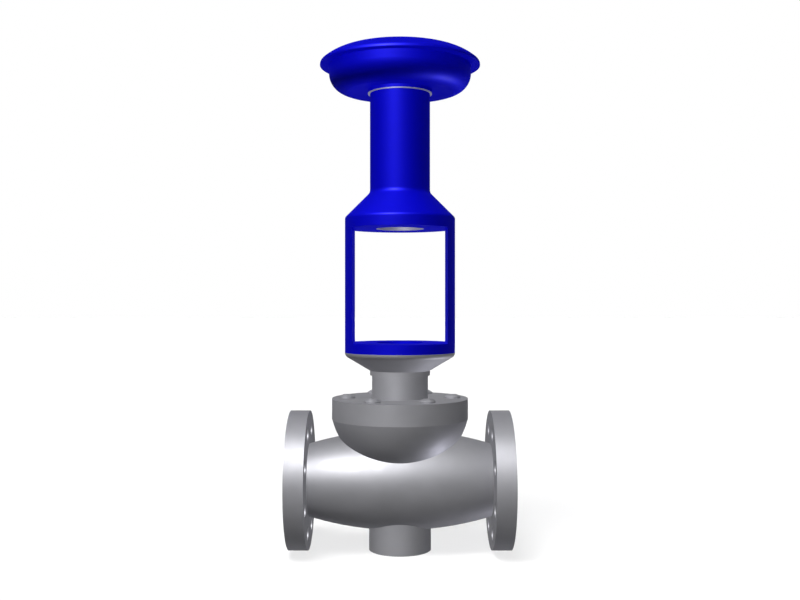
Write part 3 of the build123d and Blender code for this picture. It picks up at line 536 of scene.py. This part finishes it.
# Lights: a soft key from the upper left and front, and a weaker one from below
# on the right, as a studio's reflector gives. Each has a second lamp that only
# makes its sheen, the reflector's a little bluish. None casts a shadow on the
# object.
WHITE = (1.0, 1.0, 1.0)
BLUISH = (0.88, 0.88, 1.0)
FROM_KEY = (0.315, 0.633, -0.707)
FROM_REFLECTOR = (-0.526, -0.427, 0.736)
LAMP_SOFTNESS = 12
KEY_LIGHT = 0.82
REFLECTOR_LIGHT = 0.52
KEY_SHEEN = 10.2
REFLECTOR_SHEEN = 2.1


def sun(name, towards, strength, colour=WHITE, softness=LAMP_SOFTNESS):
    """A distant lamp that shines along a direction, without shadows."""
    data = bpy.data.lights.new(name, "SUN")
    data.energy = strength * pi
    data.color = colour
    data.angle = radians(softness)
    data.use_shadow = False
    lamp = bpy.data.objects.new(name, data)
    lamp.rotation_mode = "QUATERNION"
    lamp.rotation_quaternion = Vector(towards).to_track_quat("-Z", "Y")
    bpy.context.scene.collection.objects.link(lamp)
    return lamp


def glint(name, towards, strength, colour=WHITE):
    """A lamp that only puts a sheen on what it shines on."""
    sun(name, towards, strength, colour).visible_diffuse = False


sun("key", FROM_KEY, KEY_LIGHT)
sun("reflector", FROM_REFLECTOR, REFLECTOR_LIGHT)
glint("key_glint", FROM_KEY, KEY_SHEEN)
glint("reflector_glint", FROM_REFLECTOR, REFLECTOR_SHEEN, BLUISH)


# Floor and surroundings. The floor's bounce is the grey that light finds there;
# the paper and its glow are what the camera sees, white outside the shadow.
FLOOR_REACH = 20.0
FLOOR_BOUNCE = 0.06
FLOOR_PAPER = 0.5
FLOOR_GLOW = 0.45
ROOM_LIGHT = 0.1
FROM_ABOVE = (0.2, 0.35, -0.9)
SHADOW_LIGHT = 0.6
SHADOW_SOFTNESS = 25


def grey(level):
    """A neutral colour with its alpha."""
    return (level, level, level, 1.0)


def seen(tree):
    """1 for what the camera, a reflection or a clear material sees."""
    rays = add(tree, "ShaderNodeLightPath").outputs
    direct = calculate(tree, "MAXIMUM", rays["Is Camera Ray"], rays["Is Glossy Ray"])
    return calculate(tree, "MAXIMUM", direct, rays["Is Transmission Ray"])


def show(tree, plain, shown, output):
    """The plain shader for light, and the shown one for what is seen."""
    choice = add(tree, "ShaderNodeMixShader", n0=seen(tree), n1=plain.outputs[0],
                 n2=shown.outputs[0])
    tree.links.new(choice.outputs[0], tree.nodes[output].inputs["Surface"])


def pale_floor():
    """A white floor that keeps the object's shadow and throws little light back."""
    reach = FLOOR_REACH
    mesh = bpy.data.meshes.new("floor")
    corners = [(-reach, -reach, 0), (reach, -reach, 0), (reach, reach, 0), (-reach, reach, 0)]
    mesh.from_pydata(corners, [], [(0, 1, 2, 3)])
    floor = bpy.data.objects.new("floor", mesh)
    bpy.context.scene.collection.objects.link(floor)
    floor.visible_shadow = False
    material, tree, surface = new_material("floor")
    dress(surface, Base_Color=grey(FLOOR_BOUNCE), Roughness=0.9, Specular_IOR_Level=0.0)
    paper = add(tree, "ShaderNodeBsdfDiffuse", Color=grey(FLOOR_PAPER))
    glow = add(tree, "ShaderNodeEmission", Color=grey(1.0), Strength=FLOOR_GLOW)
    white = add(tree, "ShaderNodeAddShader", n0=paper.outputs[0], n1=glow.outputs[0])
    show(tree, surface, white, "Material Output")
    mesh.materials.append(material)
    return floor


def surroundings():
    """A plain grey room that shows as white."""
    world = bpy.data.worlds.new("studio")
    bpy.context.scene.world = world
    world.use_nodes = True
    tree = world.node_tree
    room = tree.nodes["Background"]
    dress(room, Color=grey(1.0), Strength=ROOM_LIGHT)
    backdrop = add(tree, "ShaderNodeBackground", Color=grey(1.0), Strength=1.0)
    show(tree, room, backdrop, "World Output")


def shadow_light(floor):
    """The lamp that gives the floor the object's shadow; it lights nothing else."""
    lamp = sun("floor_light", FROM_ABOVE, SHADOW_LIGHT, softness=SHADOW_SOFTNESS)
    lamp.data.use_shadow = True
    lit_by_it = bpy.data.collections.new("floor_only")
    lit_by_it.objects.link(floor)
    lamp.light_linking.receiver_collection = lit_by_it


floor = pale_floor()
surroundings()
shadow_light(floor)


# Camera: level, in front of the middle of the valve
CAMERA_PLACE = (0.0, -1.5456, 0.39776)
FOCAL_PIXELS = 966
IMAGE_WIDTH = 800
SENSOR = 36.0

camera_data = bpy.data.cameras.new("camera")
camera_data.sensor_width = SENSOR
camera_data.lens = SENSOR * FOCAL_PIXELS / IMAGE_WIDTH
camera = bpy.data.objects.new("camera", camera_data)
camera.location = CAMERA_PLACE
camera.rotation_euler = (pi / 2, 0, 0)
bpy.context.scene.collection.objects.link(camera)
bpy.context.scene.camera = camera

bpy.context.scene.view_settings.view_transform = "Standard"
